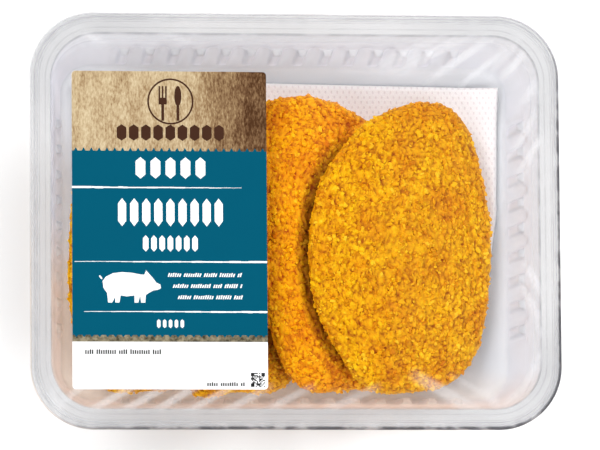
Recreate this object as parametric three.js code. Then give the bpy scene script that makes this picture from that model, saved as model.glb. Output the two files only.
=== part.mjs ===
// A sealed retail tray of four breaded pork schnitzels.
// A clear thermoformed tray holds an absorbent pad and a shingled row of schnitzels. A clear film is
// sealed to its flange, and a paper label is stuck on the film.
// Millimetres, +Z up. The origin is the centre of the tray's footprint, on the surface it stands on.

import * as THREE from 'three';
import { mergeVertices } from 'three/addons/utils/BufferGeometryUtils.js';

// ---------------------------------------------------------------- driving dimensions

const TRAY_LENGTH = 227;
const TRAY_WIDTH = 178;
const TRAY_DEPTH = 50;
const OUTER_RADIUS = 27;
const WALL = 0.8;            // sheet thickness
const FIT_GAP = 0.3;         // clearance between pieces that touch

const FLANGE_WIDTH = 8.9;    // from the outer edge to the opening
const LIP_DROP = 3;          // the turned-down rim of the flange
const LIP_ROUND = 1;
const BAND_DEPTH = 21.5;     // plain band between the flange and the ribs
const BAND_DRAFT = 3.7;      // how far the band leans in over its depth
const WALL_DRAFT = 3.4;      // how far the ribbed wall leans in below the band
const FILLET_RISE = 3.6;     // round between the floor and the wall
const FILLET_REACH = 2.6;
const FLOOR_RADIUS = 12;     // corner radii of the floor, the ribs' ledge and the opening
const LEDGE_RADIUS = 17;
const OPENING_RADIUS = 20;

const RIB_PITCH = 11;
const RIB_HALF_WIDTH = 1.6;
const RIB_FLANK = 1.1;
const RIB_DEPTH_TOP = 2.4;   // how far a rib stands in from the wall, at its flat top
const RIB_DEPTH_FOOT = 0.8;
const LEDGE_FALL = 0.5;      // a rib's top slopes down this much towards the inside
const FLUTE_BULGE = 1.4;     // how far the wall bows out between two ribs
const FLANK_SHARE = 0.35;    // share of that bulge already reached beside a rib
const RIB_FOOT_HEIGHT = 7.5;
const ARCH_HEIGHT = 3;       // the round head of each flute, above the ribs
const RIBS_LONG_SIDE = 14;
const RIBS_SHORT_SIDE = 9;
const CORNER_STEPS = 6;

const PAD_LENGTH = 184.2;
const PAD_WIDTH = 97.5;
const PAD_THICKNESS = 1.2;
const PAD_CENTRE = new THREE.Vector2(0.7, 16.5);
const PAD_TURN = THREE.MathUtils.degToRad(-0.9);
const PAD_CELL = 15;
const PAD_WAVE = 0.12;       // gentle waves, with their lengths along the pad and across it
const PAD_WAVE_LENGTH = 82;
const PAD_WAVE_WIDTH = 107;
const PAD_CORNER_CURL = 3.4; // the pad's rear corners ride up the tray's round corners

const FILM_THICKNESS = 0.3;
const FILM_INSET = 0.8;      // the film is cut just inside the flange's edge

const LABEL_LENGTH = 135.8;  // along Y
const LABEL_WIDTH = 83.1;    // along X
const LABEL_THICKNESS = 0.25;
const LABEL_RADIUS = 1.6;
const LABEL_CENTRE = new THREE.Vector2(-54.4, -4.3);

const SCHNITZEL_THICKNESS = 14;
const SCHNITZEL_DETAIL = 7;  // subdivisions of the icosahedron each piece starts from
const EDGE_FULLNESS = 2.6;   // exponent of the side profile: 2 is an ellipse, more is squarer
const EDGE_SPREAD = 0.8;     // under 1 moves facets from the rim towards the middle
const CRAG_SIZE = 6.5;
const CRAG_HEIGHT = 0.45;

// The row from the top piece on the right to the lowest on the left. lobes are the outline's
// harmonics, [order, cosine, sine], on an ellipse of the given half sizes. The row is shingled: each
// piece bends up at x = touch, climbs the piece on its left at the given slope, which eases by droop
// beyond x = sag, and rests its lowest point on the pad.
const SCHNITZELS = [
  {
    name: 'schnitzel_1', centre: [52.1, -11.7], half: [43, 62.4], seed: 11,
    lobes: [
      [1, -0.065, 0.034], [2, -0.03, 0.033], [3, -0.042, -0.015], [4, -0.014, -0.021],
      [5, 0.003, 0.003], [6, 0.01, 0.007], [7, 0.005, 0.003], [8, -0.006, 0.006],
    ],
    slope: 0.531, touch: 85, droop: 0.16, sag: 38,
  },
  {
    name: 'schnitzel_2', centre: [15.4, -7], half: [40.8, 62.8], seed: 23,
    lobes: [
      [1, 0.078, 0.019], [2, -0.079, -0.079], [3, 0.004, 0.052],
      [4, -0.1, 0.012], [5, -0.042, 0.015], [6, -0.031, 0.035],
    ],
    slope: 0.505, touch: 53.5, droop: 0.24, sag: 2,
  },
  {
    name: 'schnitzel_3', centre: [-20.7, -7.8], half: [41.6, 62.7], seed: 37,
    lobes: [
      [1, 0.076, -0.04], [2, -0.021, 0.03], [3, 0.012, 0.022], [4, -0.024, -0.005],
      [5, -0.037, 0.013], [6, 0.019, -0.007], [7, 0.004, -0.013], [8, -0.003, 0.032],
    ],
    slope: 0.54, touch: 17.5, droop: 0.5, sag: -24,
  },
  {
    name: 'schnitzel_4', centre: [-53.6, -9.1], half: [40.6, 66.1], seed: 53,
    lobes: [
      [1, -0.034, 0.01], [2, 0.051, 0.017], [3, 0.044, -0.017], [4, -0.037, -0.014],
      [5, 0.004, -0.005], [6, -0.005, -0.001], [7, 0.002, 0.014], [8, 0.007, 0.019],
    ],
    slope: 0, touch: 0, droop: 0, sag: 0,
  },
];
const BEND_SOFTNESS = 5;     // length over which a piece bends where its slope changes

// ---------------------------------------------------------------- materials

function material(colour, roughness, extras = {}) {
  return new THREE.MeshStandardMaterial({ color: colour, roughness, metalness: 0, ...extras });
}

const clearSheet = () => material('#dfe0e6', 0.15, { transparent: true, opacity: 0.35 });
const clearFilm = () => material('#f0f0f4', 0.1, { transparent: true, opacity: 0.2 });
const paddedPaper = () => material('#f6f2f2', 0.9);
const breadCrumb = () => material('#e8960f', 0.8);
const labelPaper = () => material('#00627c', 0.6);

// ---------------------------------------------------------------- closed lofts

// A ring is a closed loop of { point, along }, where along grows by RING_SPAN around the tray. Two
// rings of different counts are zipped together by advancing whichever is behind.
const RING_SPAN = 8;

function zipRings(lower, upper, triangles) {
  let i = 0;
  let j = 0;
  while (i < lower.length || j < upper.length) {
    const lowerNext = i < lower.length ? lower[i].next : Infinity;
    const upperNext = j < upper.length ? upper[j].next : Infinity;
    const a = lower[i % lower.length].index;
    const b = upper[j % upper.length].index;
    if (lowerNext <= upperNext) {
      i += 1;
      triangles.push(a, b, lower[i % lower.length].index);
    } else {
      j += 1;
      triangles.push(a, b, upper[j % upper.length].index);
    }
  }
}

// Joins the rings in order and closes the first and the last with a flat cap.
function loftRings(rings) {
  const positions = [];
  const triangles = [];
  for (const ring of rings) {
    ring.forEach((station, k) => {
      station.index = positions.length / 3;
      station.next = k + 1 < ring.length ? ring[k + 1].along : ring[0].along + RING_SPAN;
      positions.push(station.point.x, station.point.y, station.point.z);
    });
  }
  for (let k = 0; k + 1 < rings.length; k += 1) {
    zipRings(rings[k], rings[k + 1], triangles);
  }
  const capFirst = capRing(rings[0]);
  const capLast = capRing(rings[rings.length - 1]);
  capFirst.forEach(([a, b, c]) => triangles.push(a, b, c));
  capLast.forEach(([a, b, c]) => triangles.push(a, c, b));
  const geometry = new THREE.BufferGeometry();
  geometry.setAttribute('position', new THREE.Float32BufferAttribute(positions, 3));
  geometry.setIndex(triangles);
  return geometry;
}

function capRing(ring) {
  const outline = ring.map(({ point }) => new THREE.Vector2(point.x, point.y));
  const faces = THREE.ShapeUtils.triangulateShape(outline, []);
  return faces.map((face) => face.map((k) => ring[k].index));
}

// ---------------------------------------------------------------- tray

// Where a side's ribs stand, measured along the side from its middle.
function ribCentres(count) {
  return Array.from({ length: count }, (_, k) => (k - (count - 1) / 2) * RIB_PITCH);
}

// The stations of one side: its place along the side and how far it stands in, from 1 at a rib's
// top to -1 in the middle of a flute.
function sideStations(ribCount, detail) {
  const centres = ribCentres(ribCount);
  const edge = RIB_HALF_WIDTH + RIB_FLANK;
  if (detail === 'plain') return [];
  const stations = [{ place: centres[0] - RIB_PITCH / 2, relief: 0 }];
  for (const centre of centres) {
    if (detail === 'ribbed') {
      stations.push({ place: centre - edge, relief: -FLANK_SHARE });
      stations.push({ place: centre - RIB_HALF_WIDTH, relief: 1 });
      stations.push({ place: centre + RIB_HALF_WIDTH, relief: 1 });
      stations.push({ place: centre + edge, relief: -FLANK_SHARE });
    }
    stations.push({ place: centre + RIB_PITCH / 2, relief: -1 });
  }
  stations[stations.length - 1].relief = 0;
  return stations;
}

// One closed ring of the tray, anticlockwise from above. inset is its distance in from the outer
// edge, rib and bulge are how far its ribs stand in and its flutes bow out.
function trayRing({ inset, z, radius, detail = 'plain', rib = 0, bulge = 0 }) {
  const halfX = TRAY_LENGTH / 2 - inset;
  const halfY = TRAY_WIDTH / 2 - inset;
  const long = sideStations(RIBS_LONG_SIDE, detail);
  const short = sideStations(RIBS_SHORT_SIDE, detail);
  const ring = [];
  for (let side = 0; side < 4; side += 1) {
    const alongX = side % 2 === 0;
    const halfRun = alongX ? halfX : halfY;
    const halfAcross = alongX ? halfY : halfX;
    const turn = (side * Math.PI) / 2;
    const place = (run, out) => {
      const flat = new THREE.Vector2(run, -out).rotateAround(new THREE.Vector2(), turn);
      return new THREE.Vector3(flat.x, flat.y, z);
    };
    for (const { place: run, relief } of alongX ? long : short) {
      const inward = relief > 0 ? relief * rib : relief * bulge;
      const along = 2 * side + 0.5 + run / TRAY_LENGTH;
      ring.push({ point: place(run, halfAcross - inward), along });
    }
    for (let step = 0; step <= CORNER_STEPS; step += 1) {
      const angle = (step / CORNER_STEPS) * (Math.PI / 2);
      const run = halfRun - radius + radius * Math.sin(angle);
      const out = halfAcross - radius + radius * Math.cos(angle);
      ring.push({ point: place(run, out), along: 2 * side + 1 + step / CORNER_STEPS });
    }
  }
  return ring;
}

// The tray's section, as one face of the sheet from the floor up to the opening. The other face is
// the same a sheet's thickness further out and down.
function trayFace(shift, drop) {
  const openingZ = TRAY_DEPTH - WALL;
  const ledgeZ = TRAY_DEPTH - BAND_DEPTH;
  const ledgeInset = FLANGE_WIDTH + BAND_DRAFT;
  const footInset = ledgeInset + WALL_DRAFT;
  const footZ = WALL + FILLET_RISE;
  const slope = WALL_DRAFT / (ledgeZ - footZ);
  const ribFootInset = footInset - slope * (RIB_FOOT_HEIGHT - footZ);
  const archInset = ledgeInset - BAND_DRAFT * (ARCH_HEIGHT / BAND_DEPTH);
  const roundHalf = 1 - Math.SQRT1_2;
  const faces = [
    { inset: footInset + FILLET_REACH, z: WALL, radius: FLOOR_RADIUS },
    {
      inset: footInset + FILLET_REACH * roundHalf, z: WALL + FILLET_RISE * roundHalf,
      radius: FLOOR_RADIUS + FILLET_REACH * 0.4,
    },
    { inset: footInset, z: footZ, radius: FLOOR_RADIUS + FILLET_REACH * 0.6, detail: 'pitched' },
    {
      inset: ribFootInset, z: RIB_FOOT_HEIGHT, radius: FLOOR_RADIUS + FILLET_REACH * 0.8,
      detail: 'ribbed', rib: RIB_DEPTH_FOOT, bulge: FLUTE_BULGE / 2,
    },
    {
      inset: ledgeInset, z: ledgeZ - LEDGE_FALL, radius: LEDGE_RADIUS,
      detail: 'ribbed', rib: RIB_DEPTH_TOP, bulge: FLUTE_BULGE,
    },
    { inset: ledgeInset, z: ledgeZ, radius: LEDGE_RADIUS, detail: 'ribbed', bulge: FLUTE_BULGE },
    { inset: archInset, z: ledgeZ + ARCH_HEIGHT, radius: LEDGE_RADIUS, detail: 'pitched' },
    { inset: FLANGE_WIDTH, z: openingZ, radius: OPENING_RADIUS },
  ];
  return faces.map((ring) => trayRing({
    ...ring,
    inset: ring.inset - shift,
    z: ring.z - drop(ring.z),
    radius: ring.radius + shift,
  }));
}

// The flange from the opening's edge out over the turned-down lip and back under it.
function trayFlange() {
  const top = TRAY_DEPTH;
  const under = TRAY_DEPTH - WALL;
  const lipFoot = TRAY_DEPTH - LIP_DROP;
  const lip = [
    { inset: LIP_ROUND, z: top },
    { inset: 0, z: top - LIP_ROUND },
    { inset: 0, z: lipFoot },
    { inset: WALL, z: lipFoot },
    { inset: WALL, z: under - LIP_ROUND },
    { inset: WALL + LIP_ROUND, z: under },
  ].map((ring) => ({ ...ring, radius: OUTER_RADIUS - ring.inset }));
  const seal = { inset: FLANGE_WIDTH - WALL, radius: OPENING_RADIUS + WALL };
  return [{ ...seal, z: top }, ...lip, { ...seal, z: under }].map(trayRing);
}

function trayGeometry() {
  const inside = trayFace(0, () => 0);
  const outside = trayFace(WALL, (z) => (z <= WALL ? WALL : WALL * 0.9)).slice(0, -1).reverse();
  return loftRings([...inside, ...trayFlange(), ...outside]);
}

// ---------------------------------------------------------------- absorbent pad

function padGeometry() {
  const geometry = new THREE.BoxGeometry(
    PAD_LENGTH, PAD_WIDTH, PAD_THICKNESS,
    Math.round(PAD_LENGTH / PAD_CELL), Math.round(PAD_WIDTH / PAD_CELL), 1,
  );
  const position = geometry.attributes.position;
  for (let k = 0; k < position.count; k += 1) {
    const x = position.getX(k);
    const y = position.getY(k);
    const atCorner = Math.abs(x) > PAD_LENGTH / 2 - 1 && y > PAD_WIDTH / 2 - 1;
    const wave = PAD_WAVE * Math.sin((2 * Math.PI * x) / PAD_WAVE_LENGTH)
      * Math.cos((2 * Math.PI * y) / PAD_WAVE_WIDTH);
    position.setZ(k, position.getZ(k) + (atCorner ? PAD_CORNER_CURL : wave));
  }
  return geometry;
}

// ---------------------------------------------------------------- schnitzels

// Smooth value noise in three dimensions, from -1 to 1, seeded.
function makeNoise(seed) {
  const lattice = (x, y, z) => {
    let hash = (x * 374761393 + y * 668265263 + z * 2147483647 + seed * 1274126177) | 0;
    hash = Math.imul(hash ^ (hash >>> 13), 1274126177);
    return ((hash ^ (hash >>> 16)) >>> 0) / 2147483648 - 1;
  };
  const ease = (t) => t * t * (3 - 2 * t);
  return (point) => {
    const base = point.clone().floor();
    const part = point.clone().sub(base);
    let sum = 0;
    for (const dx of [0, 1]) {
      for (const dy of [0, 1]) {
        for (const dz of [0, 1]) {
          const weight = ease(dx ? part.x : 1 - part.x)
            * ease(dy ? part.y : 1 - part.y) * ease(dz ? part.z : 1 - part.z);
          sum += weight * lattice(base.x + dx, base.y + dy, base.z + dz);
        }
      }
    }
    return sum;
  };
}

function softRamp(distance) {
  return BEND_SOFTNESS * Math.log1p(Math.exp(distance / BEND_SOFTNESS));
}

function schnitzelGeometry(piece) {
  const noise = makeNoise(piece.seed);
  const outline = (angle) => piece.lobes.reduce(
    (sum, [order, c, s]) => sum + c * Math.cos(order * angle) + s * Math.sin(order * angle), 1,
  );
  const lift = (x) => piece.slope * softRamp(piece.touch - x) - piece.droop * softRamp(piece.sag - x);
  const geometry = new THREE.IcosahedronGeometry(1, SCHNITZEL_DETAIL);
  const position = geometry.attributes.position;
  const direction = new THREE.Vector3();
  for (let k = 0; k < position.count; k += 1) {
    direction.fromBufferAttribute(position, k).normalize();
    const angle = Math.atan2(direction.y, direction.x);
    const level = Math.min(Math.hypot(direction.x, direction.y), 1);
    const reach = level ** EDGE_SPREAD;
    const height = Math.sign(direction.z)
      * Math.max(1 - reach ** EDGE_FULLNESS, 0) ** (1 / EDGE_FULLNESS);
    const crag = CRAG_HEIGHT * noise(new THREE.Vector3(
      (direction.x * piece.half[0]) / CRAG_SIZE,
      (direction.y * piece.half[1]) / CRAG_SIZE,
      direction.z * 2,
    ));
    const rimShare = level ** 6;
    const spread = reach * outline(angle) + (crag * rimShare) / piece.half[0];
    const x = piece.centre[0] + piece.half[0] * spread * Math.cos(angle);
    const y = piece.centre[1] + piece.half[1] * spread * Math.sin(angle);
    const off = (height * SCHNITZEL_THICKNESS) / 2 + crag * direction.z;
    const grade = lift(x + 0.5) - lift(x - 0.5);
    const length = Math.hypot(1, grade);
    position.setXYZ(
      k,
      x - (off * grade) / length,
      y,
      lift(x) + off / length,
    );
  }
  geometry.computeBoundingBox();
  return geometry.translate(0, 0, -geometry.boundingBox.min.z);
}

// ---------------------------------------------------------------- film and label

function roundedPlate(length, width, radius, thickness, steps) {
  const x = length / 2 - radius;
  const y = width / 2 - radius;
  const shape = new THREE.Shape();
  shape.absarc(x, y, radius, 0, Math.PI / 2);
  shape.absarc(-x, y, radius, Math.PI / 2, Math.PI);
  shape.absarc(-x, -y, radius, Math.PI, 1.5 * Math.PI);
  shape.absarc(x, -y, radius, 1.5 * Math.PI, 2 * Math.PI);
  return new THREE.ExtrudeGeometry(shape, {
    depth: thickness, bevelEnabled: false, curveSegments: steps,
  });
}

// ---------------------------------------------------------------- assembly

const group = new THREE.Group();

// Keeps positions only, with shared corners merged, so that each mesh is one closed body.
function add(name, geometry, look, place = new THREE.Vector3(), turn = 0) {
  const bare = geometry.clone();
  bare.deleteAttribute('normal');
  bare.deleteAttribute('uv');
  const merged = mergeVertices(bare, 1e-4);
  merged.computeVertexNormals();
  const mesh = new THREE.Mesh(merged, look);
  mesh.name = name;
  mesh.position.copy(place);
  mesh.rotation.z = turn;
  group.add(mesh);
}

const padZ = WALL + FIT_GAP + PAD_WAVE;
const foodZ = padZ + PAD_THICKNESS + PAD_WAVE + FIT_GAP;
const filmZ = TRAY_DEPTH + FIT_GAP;
const labelZ = filmZ + FILM_THICKNESS + FIT_GAP;

add('tray', trayGeometry(), clearSheet());

add(
  'pad', padGeometry(), paddedPaper(),
  new THREE.Vector3(PAD_CENTRE.x, PAD_CENTRE.y, padZ + PAD_THICKNESS / 2), PAD_TURN,
);

for (const piece of SCHNITZELS) {
  add(piece.name, schnitzelGeometry(piece), breadCrumb(), new THREE.Vector3(0, 0, foodZ));
}

add(
  'film',
  roundedPlate(
    TRAY_LENGTH - 2 * FILM_INSET, TRAY_WIDTH - 2 * FILM_INSET, OUTER_RADIUS - FILM_INSET,
    FILM_THICKNESS, CORNER_STEPS,
  ),
  clearFilm(),
  new THREE.Vector3(0, 0, filmZ),
);

add(
  'label',
  roundedPlate(LABEL_WIDTH, LABEL_LENGTH, LABEL_RADIUS, LABEL_THICKNESS, 4),
  labelPaper(),
  new THREE.Vector3(LABEL_CENTRE.x, LABEL_CENTRE.y, labelZ),
);

export default group;
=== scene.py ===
"""A sealed tray of four breaded schnitzels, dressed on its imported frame."""

import math
import random

import bmesh
import bpy
import numpy as np
from mathutils import Matrix, Vector, noise
from mathutils.bvhtree import BVHTree


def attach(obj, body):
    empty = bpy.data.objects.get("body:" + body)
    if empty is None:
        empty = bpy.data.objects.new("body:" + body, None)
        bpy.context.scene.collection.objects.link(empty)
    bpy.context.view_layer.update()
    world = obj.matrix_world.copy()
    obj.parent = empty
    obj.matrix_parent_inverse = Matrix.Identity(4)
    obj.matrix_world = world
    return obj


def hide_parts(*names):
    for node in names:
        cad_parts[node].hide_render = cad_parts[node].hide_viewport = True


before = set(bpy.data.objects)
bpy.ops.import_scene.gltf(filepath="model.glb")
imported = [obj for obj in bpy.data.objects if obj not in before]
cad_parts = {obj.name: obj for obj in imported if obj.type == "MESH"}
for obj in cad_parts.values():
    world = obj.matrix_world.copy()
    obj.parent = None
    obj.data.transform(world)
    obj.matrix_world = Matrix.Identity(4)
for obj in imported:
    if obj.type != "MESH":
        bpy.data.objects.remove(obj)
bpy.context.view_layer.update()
MM = 0.001  # sizes are in millimetres, unless they say otherwise

# ---- The table top -------------------------------------------------------------------------
# A plain white board, lacquered matt, larger than anything that is seen of it. The tray stands
# on it, and it is not part of the object.
BOARD_HALF = 3.0  # metres
BOARD_DROP = 0.2  # just below the foot of the tray
MOTTLE_SIZE = 25.0


def add(tree, kind, own=None, links=None):
    """Adds a node with its own settings, and a value or another node's output on each socket."""
    node = tree.nodes.new(kind)
    for name, value in (own or {}).items():
        setattr(node, name, value)
    for socket, value in (links or {}).items():
        if isinstance(value, bpy.types.NodeSocket):
            tree.links.new(value, node.inputs[socket])
        else:
            node.inputs[socket].default_value = value
    return node


def tint(code, alpha=1.0):
    """An sRGB hex colour as linear red, green, blue and alpha."""
    parts = [int(code[k:k + 2], 16) / 255 for k in (1, 3, 5)]
    return [c / 12.92 if c <= 0.04045 else ((c + 0.055) / 1.055) ** 2.4 for c in parts] + [alpha]


def start_finish(name):
    """An empty material of that name, and its node tree with the output node."""
    finish = bpy.data.materials.new(name)
    finish.use_nodes = True
    finish.node_tree.nodes.clear()
    return finish, finish.node_tree, finish.node_tree.nodes.new("ShaderNodeOutputMaterial")


def make_piece(name, form, finish, smooth=True):
    """Turns a bmesh into a scene object of that name, with its material."""
    mesh = bpy.data.meshes.new(name)
    form.to_mesh(mesh)
    form.free()
    mesh.polygons.foreach_set("use_smooth", [smooth] * len(mesh.polygons))
    mesh.materials.append(finish)
    piece = bpy.data.objects.new(name, mesh)
    bpy.context.scene.collection.objects.link(piece)
    return piece


# Matt white lacquer: no gloss at all, so that it reads as an even ground.
board_lacquer, tree, out = start_finish("matt_white_lacquer")
mottle = add(tree, "ShaderNodeTexNoise", links={
    "Vector": add(tree, "ShaderNodeTexCoord").outputs["Object"],
    "Scale": 1 / (MOTTLE_SIZE * MM), "Detail": 3.0})
ground = add(tree, "ShaderNodeMix", {"data_type": "RGBA"}, {
    0: mottle.outputs["Fac"], 6: tint("#F7F7F7"), 7: tint("#F9F9F9")})
lacquer = add(tree, "ShaderNodeBsdfPrincipled", links={
    "Base Color": ground.outputs[2], "Roughness": 0.9, "Specular IOR Level": 0.0})
tree.links.new(lacquer.outputs[0], out.inputs["Surface"])

form = bmesh.new()
bmesh.ops.create_grid(form, x_segments=8, y_segments=8, size=BOARD_HALF)
bmesh.ops.translate(form, verts=form.verts, vec=(0, 0, -BOARD_DROP * MM))
table_top = make_piece("table_top", form, board_lacquer)

# ---- The view and the lights ---------------------------------------------------------------
# A long lens looks nearly straight down, from a little to the tray's left and front. Four soft
# boxes stand round it, the strongest to the upper left, and a pale room fills in the shadows.
# Places and lengths in this section are in metres.
VIEW_DISTANCE, VIEW_WIDTH = 2.6, 0.2555
VIEW_LEAN = (-0.112, -0.112)  # how far it stands off to each side for each metre up
VIEW_ROLL = -0.0074
AIM = Vector((0.0014, -0.0018, 0.050))
SENSOR = 36.0  # its width, in mm
TRAY_MIDDLE = Vector((0, 0, 0.02))
ROOM_LIGHT = 0.52
SOFT_BOXES = (  # the place and the width of each, its power in watts and its colour
    ("soft_box_left", (-0.72, 0.72, 1.30), 0.8, 12.0, (1.0, 1.0, 1.0)),
    ("soft_box_right", (0.85, -0.60, 1.20), 0.7, 7.6, (1.0, 1.0, 1.0)),
    ("soft_box_back", (0.70, 0.75, 1.30), 0.8, 10.3, (1.0, 1.0, 1.0)),
    ("soft_box_front", (-0.75, -0.70, 1.20), 0.8, 9.6, (1.0, 1.0, 1.01)),
)

back = Vector((*VIEW_LEAN, 1)).normalized()
right = Vector((0, 1, 0)).cross(back).normalized()
lens = bpy.data.cameras.new("view")
lens.sensor_width = SENSOR
lens.lens = SENSOR * VIEW_DISTANCE / VIEW_WIDTH
lens.clip_start, lens.clip_end = 0.1, 50
view = bpy.data.objects.new("view", lens)
view.matrix_world = (
    Matrix.Translation(AIM + back * VIEW_DISTANCE)
    @ Matrix((right, back.cross(right), back)).transposed().to_4x4()
    @ Matrix.Rotation(VIEW_ROLL, 4, "Z"))
bpy.context.scene.collection.objects.link(view)
bpy.context.scene.camera = view

for name, place, width, power, colour in SOFT_BOXES:
    lamp = bpy.data.lights.new(name, "AREA")
    lamp.shape, lamp.size, lamp.energy, lamp.color = "SQUARE", width, power, colour
    box = bpy.data.objects.new(name, lamp)
    turn = (TRAY_MIDDLE - Vector(place)).to_track_quat("-Z", "Y").to_matrix().to_4x4()
    box.matrix_world = Matrix.Translation(place) @ turn
    bpy.context.scene.collection.objects.link(box)

# The room is dark overhead, so that the clear film carries no veil, and pale at the sides.
world = bpy.data.worlds.new("pale_room")
world.use_nodes = True
tree = world.node_tree
tree.nodes.clear()
heights = add(tree, "ShaderNodeSeparateXYZ", links={
    0: add(tree, "ShaderNodeTexCoord").outputs["Generated"]})
sky = add(tree, "ShaderNodeValToRGB", links={0: heights.outputs["Z"]})
sky.color_ramp.elements[0].position, sky.color_ramp.elements[0].color = 0.45, tint("#E9EAEC")
sky.color_ramp.elements[1].position, sky.color_ramp.elements[1].color = 0.93, tint("#2A2B2C")
room = add(tree, "ShaderNodeBackground", links={
    "Color": sky.outputs["Color"], "Strength": ROOM_LIGHT})
tree.links.new(room.outputs[0], add(tree, "ShaderNodeOutputWorld").inputs["Surface"])
bpy.context.scene.world = world
bpy.context.scene.view_settings.view_transform = "Standard"

# ---- The tray ------------------------------------------------------------------------------
# A rigid tray of clear polyester sheet, drawn by vacuum into a ribbed mould, so that the ribs and
# the flange's lip are one skin of even thickness. Its flange carries the film.
HALF_LENGTH, HALF_WIDTH = 113.5, 89.0
SHEET = 0.45
CORNER_POINTS = 24
RIBS = (14, 9)  # on each long wall and on each short one
RIB_PITCH, RIB_HALF, RIB_EDGE = 11.0, 1.3, 2.75  # from its middle to the edge of its top, and its foot
FLANK_SHARE = 0.35  # how much of a flute's depth the flank of a rib takes
HEAD_FOOT, HEAD_RISE, HEAD_FADE = 26.4, 5.0, 1.4  # a flute's round head: where it starts and ends
# Places across one rib, from the middle of one flute to the next.
RIB_STEPS = (RIB_HALF, 1.8, 2.3, RIB_EDGE, 3.2, 3.9, 4.7)
RIB_PLACES = (-RIB_PITCH / 2, *(-step for step in reversed(RIB_STEPS)), 0, *RIB_STEPS)
# The skin from the middle of the floor up the wall, over the flange and down its lip: distance in
# from the outer edge, height, corner radius, how far the ribs stand in and the flutes bow out.
SKIN = (
    (26.0, 0.80, 9.0, 0, 0), (20.0, 0.80, 11.0, 0, 0), (18.6, 0.80, 12.0, 0, 0),
    (17.9, 1.05, 12.5, 0, 0), (17.0, 1.75, 13.0, 0, 0), (16.4, 2.80, 13.4, 0, 0),
    (16.0, 4.40, 13.6, 0, 0.2), (15.78, 6.00, 13.8, 0.35, 0.45), (15.56, 7.50, 14.0, 0.8, 0.7),
    (14.9, 12.2, 14.5, 1.15, 0.9), (14.15, 17.5, 15.1, 1.6, 1.1), (13.3, 23.5, 15.9, 2.05, 1.28),
    (12.98, 25.8, 16.3, 2.3, 1.36), (12.85, 26.7, 16.4, 2.35, 1.4), (12.72, 27.4, 16.5, 2.1, 1.4),
    (12.64, 27.9, 16.6, 1.6, 1.4), (12.6, 28.3, 16.7, 1.0, 1.4), (12.55, 28.7, 16.7, 0.4, 1.4),
    (12.5, 29.1, 16.8, 0, 1.4), (12.4, 29.7, 16.8, 0, 1.4), (12.3, 30.3, 16.9, 0, 1.4),
    (12.2, 30.9, 16.9, 0, 1.4), (12.1, 31.5, 17.0, 0, 0), (12.0, 32.1, 17.0, 0, 0),
    (11.0, 37.5, 17.8, 0, 0), (10.0, 43.3, 18.8, 0, 0), (9.4, 46.8, 19.2, 0, 0),
    (9.05, 48.6, 19.9, 0, 0), (8.95, 49.15, 20.0, 0, 0), (8.7, 49.45, 20.2, 0, 0),
    (8.3, 49.6, 20.6, 0, 0), (7.6, 49.62, 21.2, 0, 0), (7.2, 49.8, 21.6, 0, 0),
    (6.9, 50.0, 21.8, 0, 0), (6.4, 50.0, 22.2, 0, 0), (6.0, 50.0, 22.5, 0, 0),
    (4.2, 50.0, 23.9, 0, 0), (3.8, 50.0, 24.2, 0, 0), (3.4, 50.0, 24.5, 0, 0),
    (2.95, 50.0, 24.8, 0, 0), (2.8, 49.9, 24.9, 0, 0), (2.6, 49.5, 25.1, 0, 0),
    (2.35, 49.5, 25.2, 0, 0), (2.15, 49.9, 25.4, 0, 0), (2.0, 50.0, 25.5, 0, 0),
    (1.6, 50.0, 25.7, 0, 0), (1.0, 50.0, 26.0, 0, 0), (0.62, 49.93, 26.4, 0, 0),
    (0.29, 49.71, 26.7, 0, 0), (0.07, 49.38, 26.9, 0, 0), (0.0, 49.0, 27.0, 0, 0),
    (0.0, 47.0, 27.0, 0, 0),
)
FLANGE_FOOT = 49.0
# Where the sheet bends or steps, painted shade stands in for the light that it bends away, by
# these shares: along the flutes' heads, on the ribs' sloping tops and on their flanks (front,
# right, rear and left wall), round the rim, as a painted shadow on its right and front, and on
# the skin's fine steps (distance in from the edge, half width and share).
HEAD_LINE, HEAD_LINE_DROP, HEAD_LINE_HALF = 0.6, 0.5, 0.8
CAP_Z, CAP_HALF, CAP_SHADES = 28.0, 1.8, (0.40, 0.22, 0.12, 0.04)
FLANK_FOOT, FLANK_SHADES = 5.0, (0.0, 0.12, 0.24, 0.14)
RIM_LINE, RIM_REACH = 1.5, 1.6
LINES = ((1.6, 0.3, 0.1), (2.4, 0.4, 0.15), (3.8, 0.4, 0.12), (6.4, 0.4, 0.1), (8.95, 0.5, 0.36))
# Painted shade greys the sheet all over, more to the right and rear; the flange's corners are greyer
# too.
SHADE_GREY, CORNER_GREY = 0.13, 0.09  # and all over, to the right and rear, and in the flange's corners
RIBBED = (2.0, 30.0)  # the heights between which the wall is ribbed
HAZE_TOP, HAZE_FOOT = 47.0, 30.0  # the milky haze thickens from the one to the other
CLOUD_SIZE, STREAK_SIZE = 50 / 3, 20 / 3


def rib_relief(away):
    """How far the wall stands in at a distance from a rib's middle: 1 on top, -1 mid-flute."""
    if away <= RIB_HALF:
        return 1.0
    if away < RIB_EDGE:
        share = (away - RIB_HALF) / (RIB_EDGE - RIB_HALF)
        return 1.0 - (1 + FLANK_SHARE) * share * share * (3 - 2 * share)
    arch = math.sin(math.pi / 2 * (away - RIB_EDGE) / (RIB_PITCH / 2 - RIB_EDGE))
    return -FLANK_SHARE - (1 - FLANK_SHARE) * arch


def flute_head(away):
    """How high a flute's round head reaches, at a distance from the nearest rib's middle."""
    off = min(1.0, max(0.0, 1 - (away - RIB_EDGE) / (RIB_PITCH / 2 - RIB_EDGE)))
    return HEAD_FOOT + HEAD_RISE * math.sqrt(1 - off * off)


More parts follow.
